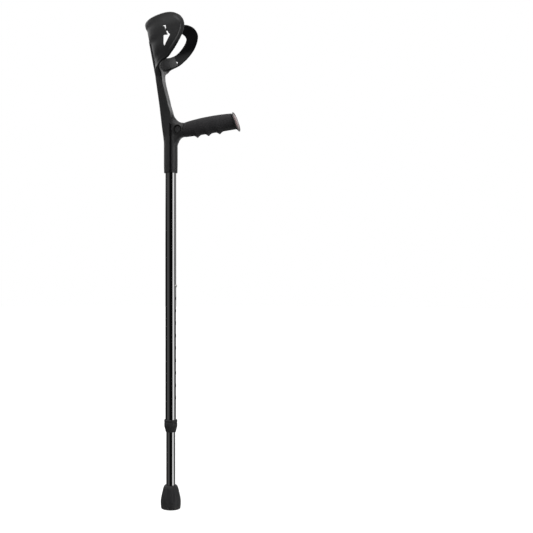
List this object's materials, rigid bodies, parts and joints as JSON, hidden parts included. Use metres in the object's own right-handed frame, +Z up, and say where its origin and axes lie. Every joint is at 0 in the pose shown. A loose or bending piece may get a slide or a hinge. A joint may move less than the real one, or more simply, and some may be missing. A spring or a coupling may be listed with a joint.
{
  "type": "forearm crutch",
  "caption": "Forearm crutch with an open moulded cuff, a ribbed handle grip and a height-adjustable tube leg on a rubber ferrule.",
  "frame": {"origin": "centre of the ferrule's ground face, on the axis of the tubes", "axes": "+Z up along the tubes, +X the way that the handle points, Y across the cuff"},
  "size_m": [0.1943, 0.107, 0.9859],
  "materials": {
    "moulded_black": "satin moulded plastic",
    "grip_rubber": "matt soft grip",
    "plug_black": "smooth moulded plastic",
    "reflector_red": "clear prismatic reflector",
    "rivet_steel": "blackened",
    "anodised_black": "gloss black anodised",
    "matt_black": "matt moulded plastic",
    "bush_plastic": "natural nylon",
    "spring_steel": "spring strip",
    "plated_steel": "bright plated",
    "ferrule_rubber": "satin moulded rubber",
    "washer_steel": "plain"
  },
  "bodies": {
    "upper": {"arm_support": "moulded_black", "grip_sleeve": "grip_rubber", "grip_end_plug": "plug_black", "end_reflector": "reflector_red", "socket_rivet": "rivet_steel", "outer_tube": "anodised_black", "tube_end_collar": "matt_black"},
    "leg": {"inner_tube": "anodised_black", "guide_bush": "bush_plastic", "button_spring": "spring_steel", "ferrule": "ferrule_rubber", "ferrule_washer": "washer_steel"},
    "button": {"snap_button": "plated_steel"}
  },
  "joints": [
    {"name": "leg_slide", "type": "slide", "parent": "upper", "child": "leg", "axis": [0, 0, -1], "range_m": [0, 0.225], "deforming": ["snap_button"]},
    {"name": "button_press", "type": "slide", "parent": "leg", "child": "button", "axis": [-1, 0, 0], "range_m": [0, 0.0043], "stiffness_N_per_m": 4000, "springref_m": -0.002, "deforming": ["button_spring"]}
  ]
}
